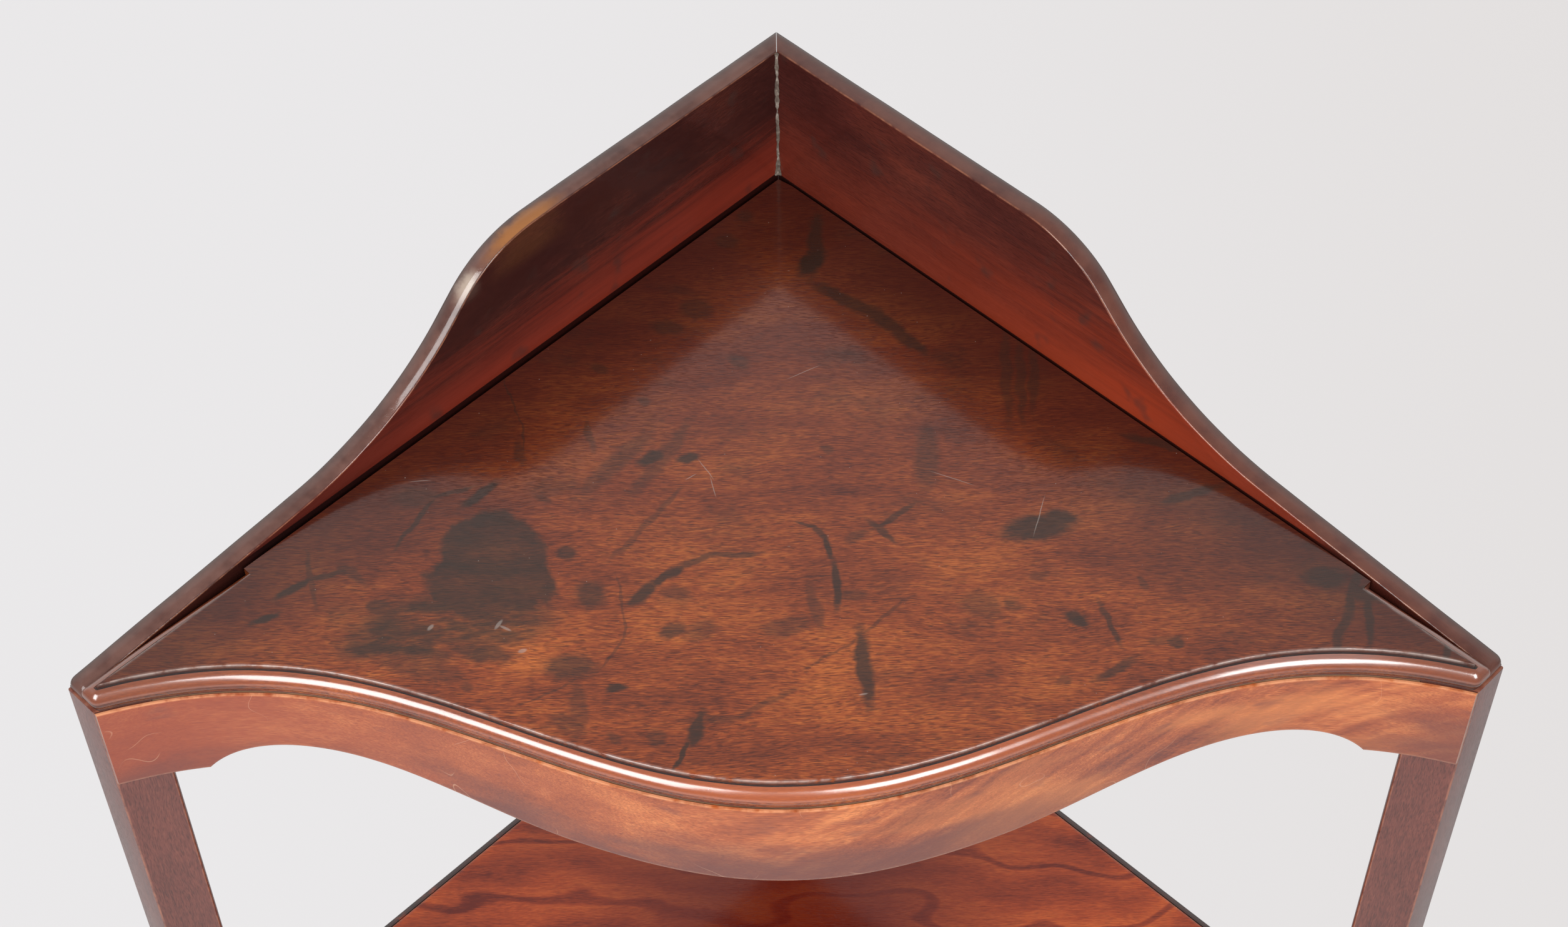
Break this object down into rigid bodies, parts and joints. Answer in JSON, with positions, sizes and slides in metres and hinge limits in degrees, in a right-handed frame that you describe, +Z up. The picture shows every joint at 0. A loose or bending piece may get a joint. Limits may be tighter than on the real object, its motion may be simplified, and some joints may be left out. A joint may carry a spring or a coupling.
{
  "type": "corner washstand",
  "caption": "Mahogany corner washstand: solid moulded top between shaped splashboards, waved apron, middle shelf over a frieze with a sliding drawer, undertier and outswept feet.",
  "frame": {"origin": "middle of the bounding box's footprint, on the floor", "axes": "+Z up, the front faces -Y, +X to the right as seen from the front; the wall planes run at 45 degrees on either side of +Y"},
  "size_m": [0.6438, 0.3898, 0.9305],
  "materials": {
    "mahogany_top": "polished and worn",
    "mahogany_splash": "polished and worn",
    "mahogany_apron": "polished veneer",
    "mahogany_leg": "dull polish",
    "mahogany_shelf": "polished",
    "carcass_wood": "bare, planed",
    "brass": "aged"
  },
  "bodies": {
    "stand": {"top_board": "mahogany_top", "splashboard_left": "mahogany_splash", "splashboard_right": "mahogany_splash", "apron_facing": "mahogany_apron", "apron_core": "carcass_wood", "top_rail_left": "carcass_wood", "top_rail_right": "carcass_wood", "leg_back": "mahogany_leg", "leg_left": "mahogany_leg", "leg_right": "mahogany_leg", "glue_block_back": "carcass_wood", "glue_block_left": "carcass_wood", "glue_block_right": "carcass_wood", "glue_block_front_left": "carcass_wood", "glue_block_front_right": "carcass_wood", "mid_shelf": "mahogany_shelf", "mid_rail_left": "mahogany_leg", "mid_rail_right": "mahogany_leg", "drawer_rail": "mahogany_leg", "frieze_panel_left": "mahogany_apron", "frieze_panel_right": "mahogany_apron", "runner_left": "carcass_wood", "runner_right": "carcass_wood", "drawer_guide_left": "carcass_wood", "drawer_guide_right": "carcass_wood", "drawer_stop_left": "carcass_wood", "drawer_stop_right": "carcass_wood", "knob_left": "brass", "knob_right": "brass", "knob_plate_left": "brass", "knob_plate_right": "brass", "knob_nut_left": "brass", "knob_nut_right": "brass", "undertier": "mahogany_leg"},
    "drawer": {"drawer_front": "mahogany_apron", "drawer_side_left": "carcass_wood", "drawer_side_right": "carcass_wood", "drawer_back": "carcass_wood", "drawer_bottom": "carcass_wood", "knob_drawer": "brass", "knob_plate_drawer": "brass", "knob_nut_drawer": "brass"}
  },
  "joints": [
    {"name": "drawer_slide", "type": "slide", "parent": "stand", "child": "drawer", "axis": [0, -1, 0], "range_m": [0, 0.16]}
  ]
}
